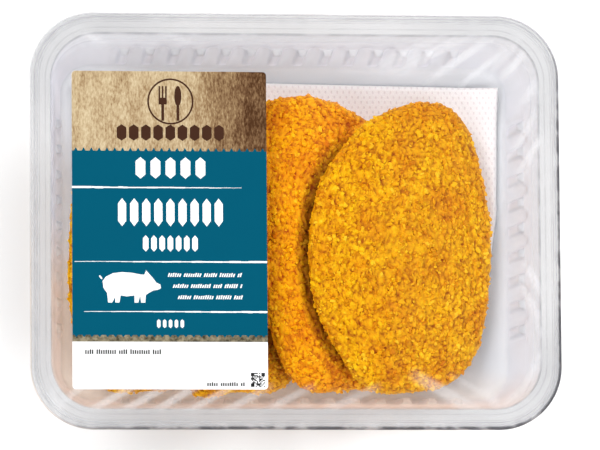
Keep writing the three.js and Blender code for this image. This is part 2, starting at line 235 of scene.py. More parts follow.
def skin_loop(inset, height, radius, rib, bulge):
    """The points of one closed loop of the tray's skin, anticlockwise from above, in mm, each with
    how much painted shade a flute's head or a rib's top or flank gets there."""
    halves = (HALF_LENGTH - inset, HALF_WIDTH - inset)
    points = []
    for side in range(4):
        run_half, across = halves[side % 2], halves[1 - side % 2]
        count = RIBS[side % 2]
        ends = [count * RIB_PITCH / 2, RIBS[1 - side % 2] * RIB_PITCH / 2]
        flat = []
        for k in range(count):
            middle = (k - (count - 1) / 2) * RIB_PITCH
            for place in RIB_PLACES:
                relief = rib_relief(abs(place))
                short = flute_head(abs(place)) - height
                # Painted shade: on the ribs' sloping tops, under the flutes' heads and on the flanks,
                # by wall.
                line = CAP_SHADES[side] * relief * max(0.0, 1 - abs(height - CAP_Z) / CAP_HALF)
                if relief < 0:
                    line = HEAD_LINE * max(0.0, 1 - abs(short - HEAD_LINE_DROP) / HEAD_LINE_HALF)
                    relief *= min(1.0, max(0.0, short / HEAD_FADE))
                if RIB_HALF < abs(place) < RIB_EDGE and FLANK_FOOT < height < CAP_Z:
                    line += FLANK_SHADES[side]
                outer = (k == 0 and place < -RIB_EDGE) or (k == count - 1 and place > RIB_EDGE)
                if outer:
                    relief *= (RIB_PITCH / 2 - abs(place)) / (RIB_PITCH / 2 - RIB_EDGE)
                flat.append((middle + place, across - relief * (rib if relief > 0 else bulge), line))
        # Round the corner: the rest of this side, a quarter circle, and the start of the next.
        rest, arc = run_half - radius - ends[0], radius * math.pi / 2
        whole = rest + arc + (across - radius - ends[1])
        for k in range(CORNER_POINTS + 1):
            gone = whole * k / (CORNER_POINTS + 1)
            if gone < rest:
                flat.append((ends[0] + gone, across, 0.0))
            elif gone < rest + arc:
                angle = (gone - rest) / radius
                flat.append((run_half - radius + radius * math.sin(angle),
                             across - radius + radius * math.cos(angle), 0.0))
            else:
                flat.append((run_half, across - radius - (gone - rest - arc), 0.0))
        turn = Matrix.Rotation(side * math.pi / 2, 2)
        points += [(*(turn @ Vector((run, -out))), line) for run, out, line in flat]
    return points


def sheet_shade_grey(x, y, height):
    """How much painted shade greys the sheet at a point in mm: more to the right and the rear,
    less along the front edge and on the rear ribs; and how much greyer the flange's corners are."""
    rightward, rearward = x / HALF_LENGTH, y / HALF_WIDTH
    share = 0.45 + 0.6 * rightward + 0.3 * rearward - 0.9 * max(0.0, -rearward - 0.6)
    if RIBBED[0] < height < RIBBED[1] and rearward > 0.7:
        share *= 0.5
    grey = SHADE_GREY * min(1.0, max(0.0, share))
    if height > FLANGE_FOOT:
        corner = rightward * rearward
        grey += CORNER_GREY * (1 - 0.55 * corner) * min(1.0, max(0.0, (abs(corner) - 0.38) / 0.3))
    return grey


def seen_only(tree, share):
    """That share for what is seen, and none for lamps and soft light, which pass unhindered."""
    path = add(tree, "ShaderNodeLightPath")
    unseen = add(tree, "ShaderNodeMath", {"operation": "MAXIMUM"}, {
        0: path.outputs["Is Shadow Ray"], 1: path.outputs["Is Diffuse Ray"]})
    seen = add(tree, "ShaderNodeMath", {"operation": "SUBTRACT"}, {0: 1.0, 1: unseen.outputs[0]})
    return add(tree, "ShaderNodeMath", {"operation": "MULTIPLY"}, {
        0: share, 1: seen.outputs[0]}).outputs[0]


# Clear polyester, vacuum-formed: see-through, with a milky haze where the wall was drawn down and
# thin lines of painted shade where it bends, so that the ribs and the flange show. Painted shade
# greys it more to the right and rear. Lamps shine through it from both sides, and at the front a
# painted reflection gives it a warm tone from the food.
clear_sheet, tree, out = start_finish("clear_polyester_sheet")
where = add(tree, "ShaderNodeTexCoord").outputs["Object"]
cloud = add(tree, "ShaderNodeTexNoise", links={
    "Vector": where, "Scale": 1 / (CLOUD_SIZE * MM), "Detail": 2.0})
ripple = add(tree, "ShaderNodeBump", links={
    "Strength": 0.15, "Distance": 0.4 * MM, "Height": cloud.outputs["Fac"]})
edge_on = add(tree, "ShaderNodeLayerWeight", links={"Blend": 0.5})
shade = add(tree, "ShaderNodeValToRGB", links={0: edge_on.outputs["Facing"]})
shade.color_ramp.elements[0].position, shade.color_ramp.elements[0].color = 0.7, tint("#F9F9F9")
shade.color_ramp.elements[1].position, shade.color_ramp.elements[1].color = 1.0, tint("#FCF3EE")
shade.color_ramp.elements.new(0.9).color = tint("#F6F5F9")
streak = add(tree, "ShaderNodeTexNoise", links={
    "Vector": where, "Scale": 1 / (STREAK_SIZE * MM), "Detail": 3.0})
# Painted shade at the bends and steps and painted shadow on the rim, in dashes, plus the painted grey.
bend_shade = add(tree, "ShaderNodeAttribute", {"attribute_name": "bend_shade"})
drawn = add(tree, "ShaderNodeMath", {"operation": "MULTIPLY_ADD"}, {
    0: bend_shade.outputs["Fac"], 1: add(tree, "ShaderNodeMapRange", links={
        "Value": streak.outputs["Fac"], "From Min": 0.38, "From Max": 0.55,
        "To Min": 0.35}).outputs["Result"],
    2: add(tree, "ShaderNodeAttribute", {"attribute_name": "greyness"}).outputs["Fac"]})
# Painted reflection: a warm tint from the food, on the walls at the front and left.
food_reflection = add(tree, "ShaderNodeAttribute", {"attribute_name": "painted_food_reflection"})
reflection_tinted = add(tree, "ShaderNodeMix", {"data_type": "RGBA", "blend_type": "MULTIPLY"}, {
    0: food_reflection.outputs["Fac"], 6: shade.outputs["Color"], 7: tint("#FFF6ED")})
lined = add(tree, "ShaderNodeMix", {"data_type": "RGBA"}, {
    0: drawn.outputs[0], 6: reflection_tinted.outputs[2], 7: tint("#7C7C80")})
passed = add(tree, "ShaderNodeMix", {"data_type": "RGBA"}, {
    0: seen_only(tree, 1.0), 6: tint("#FFFFFF"), 7: lined.outputs[2]})
through = add(tree, "ShaderNodeBsdfTransparent", links={"Color": passed.outputs[2]})
# The milky haze takes the painted reflection's warm tone too.
milk_tone = add(tree, "ShaderNodeMix", {"data_type": "RGBA"}, {
    0: food_reflection.outputs["Fac"], 6: tint("#EFF0F9"), 7: tint("#FCE8DC")})
front_lit = add(tree, "ShaderNodeBsdfPrincipled", links={
    "Base Color": milk_tone.outputs[2], "Roughness": 0.5, "IOR": 1.5,
    "Normal": ripple.outputs["Normal"]})
back_lit = add(tree, "ShaderNodeBsdfTranslucent", links={"Color": milk_tone.outputs[2]})
milk = add(tree, "ShaderNodeMixShader", links={
    0: 0.5, 1: front_lit.outputs[0], 2: back_lit.outputs[0]})
mirror = add(tree, "ShaderNodeFresnel", links={"IOR": 1.5, "Normal": ripple.outputs["Normal"]})
drawn_down = add(tree, "ShaderNodeMapRange", {"interpolation_type": "SMOOTHSTEP"}, {
    "Value": add(tree, "ShaderNodeSeparateXYZ", links={0: where}).outputs["Z"],
    "From Min": HAZE_TOP * MM, "From Max": HAZE_FOOT * MM, "To Min": 0.08, "To Max": 0.40})
upright = add(tree, "ShaderNodeMath", {"operation": "MULTIPLY_ADD"}, {
    0: edge_on.outputs["Facing"], 1: 0.3, 2: 0.7})
veil = add(tree, "ShaderNodeMath", {"operation": "MULTIPLY"}, {
    0: upright.outputs[0], 1: drawn_down.outputs["Result"]})
haze = add(tree, "ShaderNodeMath", {"operation": "MULTIPLY_ADD", "use_clamp": True}, {
    0: mirror.outputs["Fac"], 1: 0.35, 2: veil.outputs[0]})
sheet = add(tree, "ShaderNodeMixShader", links={
    0: seen_only(tree, haze.outputs["Value"]), 1: through.outputs[0], 2: milk.outputs[0]})
tree.links.new(sheet.outputs[0], out.inputs["Surface"])

form = bmesh.new()
station = form.verts.layers.int.new("station")
bend_shade_mark = form.verts.layers.float.new("bend_shade")
grey_mark = form.verts.layers.float.new("greyness")
food_reflection_mark = form.verts.layers.float.new("painted_food_reflection")
bmesh.ops.create_circle(form, segments=len(skin_loop(*SKIN[0])), radius=0.05)
form.verts.ensure_lookup_table()
for k, vert in enumerate(form.verts):
    vert[station] = k
ring = list(form.verts)
for step, (inset, height, radius, rib, bulge) in enumerate(SKIN):
    if step:
        edges = [e for e in form.edges if e.verts[0] in last_ring and e.verts[1] in last_ring]
        grown = bmesh.ops.extrude_edge_only(form, edges=edges)["geom"]
        ring = [g for g in grown if isinstance(g, bmesh.types.BMVert)]
    points = skin_loop(inset, height, radius, rib, bulge)
    # Painted shade along the skin's fine steps on the flange.
    fine = sum(dark * max(0.0, 1 - abs(inset - at) / half) for at, half, dark in LINES)
    rim = max(0.0, 1 - inset / RIM_REACH)
    for vert in ring:
        x, y, line = points[vert[station]]
        vert.co = (x * MM, y * MM, height * MM)
        # Painted shadow darkens the rim on its right and front, and a painted reflection of the food
        # warms the wall at the front and left.
        shady = min(1.0, max(0.0, 1.5 * (x / HALF_LENGTH - y / HALF_WIDTH)))
        vert[bend_shade_mark] = min(1.0, fine + line + RIM_LINE * rim * shady)
        # Painted shade: the sheet greyer to the right and rear.
        vert[grey_mark] = sheet_shade_grey(x, y, height)
        near = -y / HALF_WIDTH - 0.4 * x / HALF_LENGTH
        vert[food_reflection_mark] = min(1.0, max(0.0, 3 * near - 1)) if height < FLANGE_FOOT else 0.0
    last_ring = set(ring)
floor_edges = [e for e in form.edges if e.is_boundary and e.verts[0].co.z < 10 * MM]
bmesh.ops.contextual_create(form, geom=floor_edges)
bmesh.ops.recalc_face_normals(form, faces=form.faces)
if sum(f.normal.z * f.calc_area() for f in form.faces if f.calc_center_median().z < 1 * MM) < 0:
    bmesh.ops.reverse_faces(form, faces=form.faces)
tray = make_piece("tray_sheet", form, clear_sheet)
wall = tray.modifiers.new("sheet_thickness", "SOLIDIFY")
wall.thickness, wall.offset = SHEET * MM, -1
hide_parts("tray")
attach(tray, "root")

# ---- The absorbent pad ---------------------------------------------------------------------
# A flat pad of tissue between two skins of white non-woven, embossed with small staggered dots
# that bond the layers. It lies loose on the floor of the tray. Its rear corners ride up, and the
# piece that weighs on it has drawn its front right corner in.
PAD_SIZE, PAD_LAYERS = (184.2, 97.5, 1.2), 0.9  # over all, and how thick the layers are alone
PAD_FOOT = 1.22
PAD_PLACE = (0.7, 16.5, PAD_FOOT + PAD_SIZE[2] / 2)
PAD_TURN = math.radians(-0.9)
PAD_SQUARES = (94, 49)
PAD_SWELL, SWELL_PITCH = 0.12, (82, 107)
HEM, CRIMP, CRIMP_SIZE = 6, 0.16, 3
CORNER_LIFT, LIFT_REACH = 3.4, 17
DRAWN_FROM, DRAWN_IN = -7.5, 0.13  # from here to the front, by so much for each mm
DOT_PITCH = (2.6, 4.4)
FIBRE_SIZE, DAMP_SIZE = 5 / 7, 500 / 11

# White non-woven: soft and matt, with the dots pressed in, and pinkish where it is damp.
non_woven, tree, out = start_finish("embossed_white_nonwoven")
where = add(tree, "ShaderNodeTexCoord").outputs["Object"]
axes = add(tree, "ShaderNodeSeparateXYZ", links={0: where})
waves = []
for axis, pitch in zip(("X", "Y"), DOT_PITCH):
    turns = add(tree, "ShaderNodeMath", {"operation": "MULTIPLY"}, {
        0: axes.outputs[axis], 1: 2 * math.pi / (pitch * MM)})
    waves.append(add(tree, "ShaderNodeMath", {"operation": "COSINE"}, {0: turns.outputs[0]}))
both = add(tree, "ShaderNodeMath", {"operation": "MULTIPLY"}, {
    0: waves[0].outputs[0], 1: waves[1].outputs[0]})
dots = add(tree, "ShaderNodeMapRange", {"interpolation_type": "SMOOTHSTEP"}, {
    "Value": both.outputs[0], "From Min": 0.3, "From Max": 0.95})
fibre = add(tree, "ShaderNodeTexNoise", links={
    "Vector": where, "Scale": 1 / (FIBRE_SIZE * MM), "Detail": 4.0})
damp = add(tree, "ShaderNodeTexNoise", links={
    "Vector": where, "Scale": 1 / (DAMP_SIZE * MM), "Detail": 2.0})
skin = add(tree, "ShaderNodeMix", {"data_type": "RGBA"}, {
    0: damp.outputs["Fac"], 6: tint("#F4F0F1"), 7: tint("#F2ECEE")})
pressed = add(tree, "ShaderNodeMix", {"data_type": "RGBA", "blend_type": "MULTIPLY"}, {
    0: dots.outputs["Result"], 6: skin.outputs[2], 7: tint("#F5F0F2")})
hollow = add(tree, "ShaderNodeMath", {"operation": "MULTIPLY_ADD"}, {
    0: dots.outputs["Result"], 1: -1.0, 2: fibre.outputs["Fac"]})
relief = add(tree, "ShaderNodeBump", links={
    "Strength": 0.5, "Distance": 0.35 * MM, "Height": hollow.outputs[0]})
felt = add(tree, "ShaderNodeBsdfPrincipled", links={
    "Base Color": pressed.outputs[2], "Roughness": 0.92, "Specular IOR Level": 0.15,
    "Sheen Weight": 0.12, "Normal": relief.outputs["Normal"]})
tree.links.new(felt.outputs[0], out.inputs["Surface"])

form = bmesh.new()
bmesh.ops.create_grid(form, x_segments=PAD_SQUARES[0], y_segments=PAD_SQUARES[1], size=0.5)
bmesh.ops.scale(form, vec=(PAD_SIZE[0] * MM, PAD_SIZE[1] * MM, 1), verts=form.verts)
for vert in form.verts:
    x, y = vert.co.x / MM, vert.co.y / MM
    near = max(0.0, 1 - math.hypot(PAD_SIZE[0] / 2 - abs(x), PAD_SIZE[1] / 2 - y) / LIFT_REACH)
    hem = min(PAD_SIZE[0] / 2 - abs(x), PAD_SIZE[1] / 2 - abs(y))
    swell = (PAD_SWELL * math.sin(2 * math.pi * x / SWELL_PITCH[0])
             * math.cos(2 * math.pi * y / SWELL_PITCH[1]))
    crimp = CRIMP * noise.noise(Vector((x / CRIMP_SIZE, y / CRIMP_SIZE, 0))) * max(0.0, 1 - hem / HEM)
    vert.co.z = (swell + crimp + CORNER_LIFT * near ** 1.3) * MM
    drawn = DRAWN_IN * max(0.0, DRAWN_FROM - y)
    vert.co.x -= drawn * max(0.0, 2 * x / PAD_SIZE[0]) ** 3 * MM
bmesh.ops.recalc_face_normals(form, faces=form.faces)
bmesh.ops.rotate(form, cent=(0, 0, 0), matrix=Matrix.Rotation(PAD_TURN, 3, "Z"), verts=form.verts)
bmesh.ops.translate(form, verts=form.verts, vec=Vector(PAD_PLACE) * MM)
pad = make_piece("absorbent_pad", form, non_woven)
layers = pad.modifiers.new("layers", "SOLIDIFY")
layers.thickness, layers.offset = PAD_LAYERS * MM, 0
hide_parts("pad")
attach(pad, "root")

# ---- The schnitzels ------------------------------------------------------------------------
# Four flat pieces of pork loin in a coat of dried bread crumbs, fried to a golden orange. The coat
# is craggy, with loose flakes standing on it, and the pieces lie shingled from left to right.
COAT_LEVELS, COAT_LIFT = 3, 0.35  # rounding takes off about as much as the lift puts back
SWELL_SIZE, SWELL_HEIGHT = 14.0, 0.5
LUMP_SIZE, LUMP_HEIGHT = 4.4, 0.85
CRUMB_SIZE, CRUMB_HEIGHT = 2.2, 0.7
GRIT_SIZE, GRIT_HEIGHT = 1.3, 0.2
LUMP_STEEP, LUMP_LEVEL = 2.2, 0.6  # how steep the sides of lumps and crumbs are, and their mean
RIM_RELIEF = 0.4  # how much of the relief is left at the rims
WARP_SIZE, WARP, WARP_SEED = 2.4, 1.0, 5  # the lumps' outlines are warped out of true
PIECES_APART = 31.7  # so that no two pieces have the same crumbs
# Painted shade darkens the gaps between pieces, out to these distances.
SHADE_OVER, SHADE_UNDER = 6.5, 3.5  # how near a piece on top and one below darken the gap
RIM_PALE, RIM_SLOPE = 0.5, 0.97
FLECK_SIZE, PATCH_SIZE = 2 / 3, 100 / 7
CRAG_SIZE, CRAG_DEPTH = 10 / 9, 1.9
FLAKES = (  # how many stand on a square mm, the sizes between which they vary, and their facets
    {"share": 0.04, "least": (0.9, 0.6, 0.45), "most": (1.9, 1.3, 0.9), "facets": 2},
    {"share": 0.26, "least": (0.45, 0.3, 0.25), "most": (1.05, 0.8, 0.55), "facets": 1},
)

# Fried bread crumb: dull golden orange with pale tips and deep brown pits, and a slight shine of
# oil. Its tone follows the relief of the coat, partly its toasting and partly painted shade in the
# pits. Painted light makes it paler down the rims, and painted shade darkens it in the gaps between
# pieces.


def crumb_finish(name, low, middle, high, pale):
    """The coat's material. It reads the toast and pit shade, 0 in a pit and 1 on a tip, "rim", how
    far it turns down, for painted light, and "shade", 1 in a gap, for painted shade."""
    finish, tree, out = start_finish(name)
    where = add(tree, "ShaderNodeTexCoord").outputs["Object"]
    toast_and_pit_shade = add(tree, "ShaderNodeAttribute", {"attribute_name": "toast_and_pit_shade"})
    shaded = add(tree, "ShaderNodeAttribute", {"attribute_name": "shade"})
    fleck = add(tree, "ShaderNodeTexNoise", links={
        "Vector": where, "Scale": 1 / (FLECK_SIZE * MM), "Detail": 3.0})
    patch = add(tree, "ShaderNodeTexNoise", links={
        "Vector": where, "Scale": 1 / (PATCH_SIZE * MM), "Detail": 4.0})
    uneven = add(tree, "ShaderNodeMath", {"operation": "MULTIPLY_ADD"}, {
        0: fleck.outputs["Fac"], 1: 0.4, 2: toast_and_pit_shade.outputs["Fac"]})
    level = add(tree, "ShaderNodeMath", {"operation": "SUBTRACT"}, {0: uneven.outputs[0], 1: 0.2})
    tone = add(tree, "ShaderNodeValToRGB", links={0: level.outputs[0]})
    tone.color_ramp.elements[0].position, tone.color_ramp.elements[0].color = 0.05, tint(low)
    tone.color_ramp.elements[1].position, tone.color_ramp.elements[1].color = 1.0, tint(pale)
    for place, code in ((0.4, middle), (0.72, high)):
        tone.color_ramp.elements.new(place).color = tint(code)
    browned = add(tree, "ShaderNodeMapRange", links={
        "Value": patch.outputs["Fac"], "From Min": 0.42, "From Max": 0.68})
    fried = add(tree, "ShaderNodeMix", {"data_type": "RGBA", "blend_type": "MULTIPLY"}, {
        0: browned.outputs["Result"], 6: tone.outputs["Color"], 7: tint("#F4DCAC")})
    # Painted light: paler down the rims.
    paler = add(tree, "ShaderNodeMix", {"data_type": "RGBA"}, {
        0: add(tree, "ShaderNodeAttribute", {"attribute_name": "rim"}).outputs["Fac"],
        6: fried.outputs[2], 7: tint("#F2B468")})
    # Painted shade in the gaps between pieces.
    deep = add(tree, "ShaderNodeMix", {"data_type": "RGBA", "blend_type": "MULTIPLY"}, {
        0: shaded.outputs["Fac"], 6: paler.outputs[2], 7: tint("#3A0000")})
    pores = add(tree, "ShaderNodeBump", links={
        "Strength": 0.6, "Distance": 0.2 * MM, "Height": fleck.outputs["Fac"]})
    crust = add(tree, "ShaderNodeBsdfPrincipled", links={
        "Base Color": deep.outputs[2], "Roughness": 0.6, "Specular IOR Level": 0.12,
        "Subsurface Weight": 0.1, "Subsurface Radius": (1.8 * MM, 0.8 * MM, 0.2 * MM),
        "Subsurface Scale": 1.0, "Normal": pores.outputs["Normal"]})
    tree.links.new(crust.outputs[0], out.inputs["Surface"])
    return finish


fried_coat = crumb_finish("fried_breadcrumb_coat", "#964400", "#E2A000", "#F6BC04", "#FFD034")
fried_flake = crumb_finish("fried_breadcrumb_flake", "#C47400", "#E6A400", "#F6BE08", "#FFD23C")
browner_coat = crumb_finish("browner_breadcrumb_coat", "#A84000", "#EC9C00", "#FCB400", "#FFCA28")
browner_flake = crumb_finish("browner_breadcrumb_flake", "#CC6E00", "#EEA000", "#FCB800", "#FFCC30")


def flake_tree(seed):
    """Geometry nodes that stand flakes of crumb all over a piece, each of its own size and turn."""
    tree = bpy.data.node_groups.new(f"crumb_flakes_{seed}", "GeometryNodeTree")
    for way in ("INPUT", "OUTPUT"):
        tree.interface.new_socket("Geometry", in_out=way, socket_type="NodeSocketGeometry")
    coat = add(tree, "NodeGroupInput").outputs[0]
    gap = add(tree, "GeometryNodeInputNamedAttribute", {"data_type": "FLOAT"}, {"Name": "shade"})
    bare = add(tree, "ShaderNodeMath", {"operation": "SUBTRACT", "use_clamp": True}, {
        0: 1.0, 1: gap.outputs[0]})
    slope = add(tree, "ShaderNodeSeparateXYZ", links={
        0: add(tree, "GeometryNodeInputNormal").outputs[0]})
    level = add(tree, "ShaderNodeMapRange", links={
        "Value": add(tree, "ShaderNodeMath", {"operation": "ABSOLUTE"}, {
            0: slope.outputs["Z"]}).outputs[0],
        "From Max": 0.7, "To Min": 0.25})
    heaps = []
    for k, kind in enumerate(FLAKES):
        spaced = add(tree, "ShaderNodeMath", {"operation": "MULTIPLY"}, {
            0: level.outputs["Result"], 1: kind["share"] * 1e6})
        thinned = add(tree, "ShaderNodeMath", {"operation": "MULTIPLY"}, {
            0: bare.outputs[0], 1: spaced.outputs[0]})
        spread = add(tree, "GeometryNodeDistributePointsOnFaces", links={
            "Mesh": coat, "Density": thinned.outputs[0], "Seed": seed + 7 * k})
        lump = add(tree, "GeometryNodeMeshIcoSphere", links={
            "Radius": MM, "Subdivisions": kind["facets"]})
        size = add(tree, "FunctionNodeRandomValue", {"data_type": "FLOAT_VECTOR"}, {
            0: kind["least"], 1: kind["most"], "Seed": seed + 11 + k})
        spin = add(tree, "FunctionNodeRandomValue", {"data_type": "FLOAT_VECTOR"}, {
            0: (-0.5, -0.5, 0.0), 1: (0.5, 0.5, 6.28), "Seed": seed + 23 + k})
        turn = add(tree, "FunctionNodeRotateRotation", {"rotation_space": "LOCAL"}, {
            0: spread.outputs["Rotation"], 1: spin.outputs[0]})
        stand = add(tree, "GeometryNodeInstanceOnPoints", links={
            "Points": spread.outputs["Points"], "Instance": lump.outputs["Mesh"],
            "Rotation": turn.outputs[0], "Scale": size.outputs[0]})
        own = add(tree, "FunctionNodeRandomValue", {"data_type": "FLOAT"}, {
            2: 0.12, 3: 0.85, "Seed": seed + 31 + k})
        marked = add(tree, "GeometryNodeStoreNamedAttribute", {
            "data_type": "FLOAT", "domain": "INSTANCE"}, {
            "Geometry": stand.outputs[0], "Name": "toast_and_pit_shade", "Value": own.outputs[1]})
        heaps.append(add(tree, "GeometryNodeRealizeInstances", links={0: marked.outputs[0]}))
    heap = add(tree, "GeometryNodeJoinGeometry")
    for part in heaps:
        tree.links.new(part.outputs[0], heap.inputs[0])
    crag = add(tree, "ShaderNodeTexNoise", links={
        "Vector": add(tree, "GeometryNodeInputPosition").outputs[0],
        "Scale": 1 / (CRAG_SIZE * MM), "Detail": 1.0})
    middle = add(tree, "ShaderNodeVectorMath", {"operation": "SUBTRACT"}, {
        0: crag.outputs["Color"], 1: (0.5, 0.5, 0.5)})
    push = add(tree, "ShaderNodeVectorMath", {"operation": "SCALE"}, {
        0: middle.outputs[0], "Scale": CRAG_DEPTH * MM})
    broken = add(tree, "GeometryNodeSetPosition", links={
        "Geometry": heap.outputs[0], "Offset": push.outputs[0]})
    tree.links.new(broken.outputs[0], add(tree, "NodeGroupOutput").inputs[0])
    return tree


def finished_mesh(piece, name):
    """The piece's mesh with its modifiers applied."""
    shaped = piece.evaluated_get(bpy.context.evaluated_depsgraph_get())
    mesh = bpy.data.meshes.new_from_object(shaped)
    mesh.name = name
    return mesh


def lumps(at):
    """A pattern of cells of about one unit: 0 where they meet and 1 on top of each."""
    near, next_near = noise.voronoi(at)[0][:2]
    return min(1.0, LUMP_STEEP * (next_near - near))


plain_pieces = {}
for number in (1, 2, 3, 4):
    form = bmesh.new()
    form.from_mesh(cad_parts[f"schnitzel_{number}"].data)
    plain_pieces[number] = BVHTree.FromBMesh(form)
    form.free()

noise.seed_set(WARP_SEED)  # the noise vectors would otherwise differ from run to run
for number in (1, 2, 3, 4):
    # The coat: the plain solid, rounded, then raised in swells, crumb lumps and grit.
    form = bmesh.new()
    form.from_mesh(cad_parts[f"schnitzel_{number}"].data)
    bmesh.ops.remove_doubles(form, verts=form.verts, dist=0.001 * MM)
    coat = make_piece(f"crumb_coat_{number}", form, browner_coat if number == 2 else fried_coat)
    round_off = coat.modifiers.new("rounding", "SUBSURF")
    round_off.levels = round_off.render_levels = COAT_LEVELS
    mesh = finished_mesh(coat, coat.name)
    coat.modifiers.clear()
    coat.data = mesh
    places, outward = np.empty((2, len(mesh.vertices), 3))
    mesh.vertices.foreach_get("co", places.ravel())
    mesh.vertex_normals.foreach_get("vector", outward.ravel())
    toast_and_pit_shade, raised, shaded = np.zeros((3, len(places)))
    start = Vector((PIECES_APART * number, 0, 0))
    others = [(plain_pieces[key], reach) for key, reach in
              ((number - 1, SHADE_OVER), (number + 1, SHADE_UNDER)) if key in plain_pieces]
    for k, place in enumerate(places / MM):
        at = Vector(place) + WARP * noise.noise_vector(Vector(place) / WARP_SIZE + start)
        swell = noise.noise(at / SWELL_SIZE + start)
        lump = lumps(at / LUMP_SIZE + start)
        crumb = lumps(at / CRUMB_SIZE + start)
        grit = noise.noise(at / GRIT_SIZE + start)
        raised[k] = (SWELL_HEIGHT * swell + LUMP_HEIGHT * (lump - LUMP_LEVEL)
                     + CRUMB_HEIGHT * (crumb - LUMP_LEVEL) + GRIT_HEIGHT * grit)
        raised[k] *= RIM_RELIEF + (1 - RIM_RELIEF) * abs(outward[k][2])
        # Partly toasting and partly painted shade: darker where the lumps and crumbs meet.
        toast_and_pit_shade[k] = 0.12 + 0.3 * lump + 0.3 * crumb + 0.3 * grit
        # Painted shade, deepest where another piece comes nearest.
        for other, reach in others:
            away = other.find_nearest(Vector(place) * MM, reach * MM)[3]
            if away is not None:
                shaded[k] = max(shaded[k], (1 - away / (reach * MM)) ** 0.7)
    places += outward * (raised + COAT_LIFT)[:, None] * MM
    mesh.vertices.foreach_set("co", places.ravel())
    # Painted light: where the coat turns down it is paler, most of all on the right.
    rim = np.clip(1 - outward[:, 2] / RIM_SLOPE, 0, 1) * np.clip(0.6 + outward[:, 0], 0, 1)
    for name, values in (("toast_and_pit_shade", toast_and_pit_shade), ("shade", shaded), ("rim", RIM_PALE * rim)):
        mesh.attributes.new(name, "FLOAT", "POINT").data.foreach_set("value", values)
    mesh.update()
    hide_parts(f"schnitzel_{number}")
    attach(coat, "root")

    # The flakes that stand on it.
    flakes = bpy.data.objects.new(f"crumb_flakes_{number}", mesh)
    bpy.context.scene.collection.objects.link(flakes)
    scatter = flakes.modifiers.new("scatter", "NODES")
    scatter.node_group = flake_tree(100 * number)
    crumbs = finished_mesh(flakes, flakes.name)
    flakes.modifiers.clear()
    flakes.data = crumbs
    crumbs.materials.clear()
    crumbs.materials.append(browner_flake if number == 2 else fried_flake)
    crumbs.polygons.foreach_set("use_smooth", [False] * len(crumbs.polygons))
    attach(flakes, "root")

# ---- The sealing film ----------------------------------------------------------------------
# A clear film heat-sealed to the flange. It is pulled tight, and the pull leaves fine creases that
# run in from the corners and the sides.
FILM_HALF, FILM_RADIUS = (112.7, 88.2), 26.2
FILM_GAUGE = 0.05
FILM_GRID = 1.1
FILM_Z = 50.36
SEAL_WIDTH, SEAL_FADE = 5.5, 3.0
CREASE_HEIGHT = 0.5
OVERRUN, REACH = 0.1, 2.5  # past the ends, in lengths, and to the sides, in half widths
# A painted highlight runs beside each crease's crest:
GLINT_OFF, GLINT_FALL = 0.3, 6  # the whitest line beside the crest, and how fast it fades
# Each crease: where it starts and ends, its half width, and its strength.
CREASES = (
    (84, 79, 56, 60, 2.2, 0.75), (93, 76, 70, 58, 1.7, 0.7), (74, 80, 44, 65, 2.8, 0.6),
    (100, 74, 88, 61, 2.2, 0.7), (97, 78, 82, 63, 1.4, 0.5), (105, 62, 97, 50, 2.4, 0.5),
    (62, 79, 36, 66, 3.0, 0.45), (105, 50, 95, 33, 1.8, 0.5),
    (108, 40, 95, 20, 2.0, 0.7), (104, 45, 91, 27, 1.5, 0.5), (103, 30, 93, 15, 2.4, 0.4),
    (97, -16, 107, -34, 2.0, 0.7), (95, -25, 105, -43, 1.6, 0.55), (100, -38, 107, -50, 2.0, 0.4),
    (50, -66, 78, -82, 3.4, 0.6), (66, -66, 90, -80, 1.8, 0.3), (80, -71, 86, -80, 2.4, 0.45),
    (100, -68, 86, -81, 2.0, 0.35), (105, -56, 96, -72, 2.2, 0.4),
    (-92, -83, -66, -69, 2.0, 0.75), (-78, -83, -52, -69, 2.0, 0.75), (-64, -83, -40, -69, 2.1, 0.75),
    (-50, -83, -26, -70, 1.9, 0.65), (-34, -83, -12, -71, 2.1, 0.6), (-101, -78, -85, -66, 1.8, 0.5),
    (-109, -68, -99, -85, 1.7, 0.5), (-110, -54, -102, -74, 2.0, 0.4), (-16, -82, 6, -71, 2.0, 0.5),
    (10, -82, 34, -71, 2.2, 0.45), (-98, 85, -78, 73, 2.0, 0.4), (-60, 83, -44, 75, 1.8, 0.35),
)

# Clear film: almost no colour and a hard gloss, with a faint painted highlight along its creases.
clear_film, tree, out = start_finish("clear_sealing_film")
through = add(tree, "ShaderNodeBsdfTransparent", links={"Color": tint("#FFFFFF")})
gloss = add(tree, "ShaderNodeBsdfAnisotropic", links={
    "Color": tint("#FFFFFF"), "Roughness": 0.16})
mirror = add(tree, "ShaderNodeFresnel", links={"IOR": 1.25})
outside = add(tree, "ShaderNodeMath", {"operation": "SUBTRACT"}, {
    0: 1.0, 1: add(tree, "ShaderNodeNewGeometry").outputs["Backfacing"]})
shine = add(tree, "ShaderNodeMath", {"operation": "MULTIPLY"}, {
    0: mirror.outputs[0], 1: outside.outputs[0]})
stretched = add(tree, "ShaderNodeMixShader", links={
    0: seen_only(tree, shine.outputs[0]), 1: through.outputs[0], 2: gloss.outputs[0]})
# A painted white highlight along the creases.
creased = add(tree, "ShaderNodeAttribute", {"attribute_name": "crease_glint"})
glint_share = add(tree, "ShaderNodeMath", {"operation": "MULTIPLY"}, {
    0: creased.outputs["Fac"], 1: 0.26})
whitened = add(tree, "ShaderNodeMixShader", links={
    0: seen_only(tree, glint_share.outputs[0]), 1: stretched.outputs[0],
    2: add(tree, "ShaderNodeBsdfPrincipled", links={
        "Base Color": tint("#FAFAFB"), "Roughness": 0.25}).outputs[0]})
tree.links.new(whitened.outputs[0], out.inputs["Surface"])

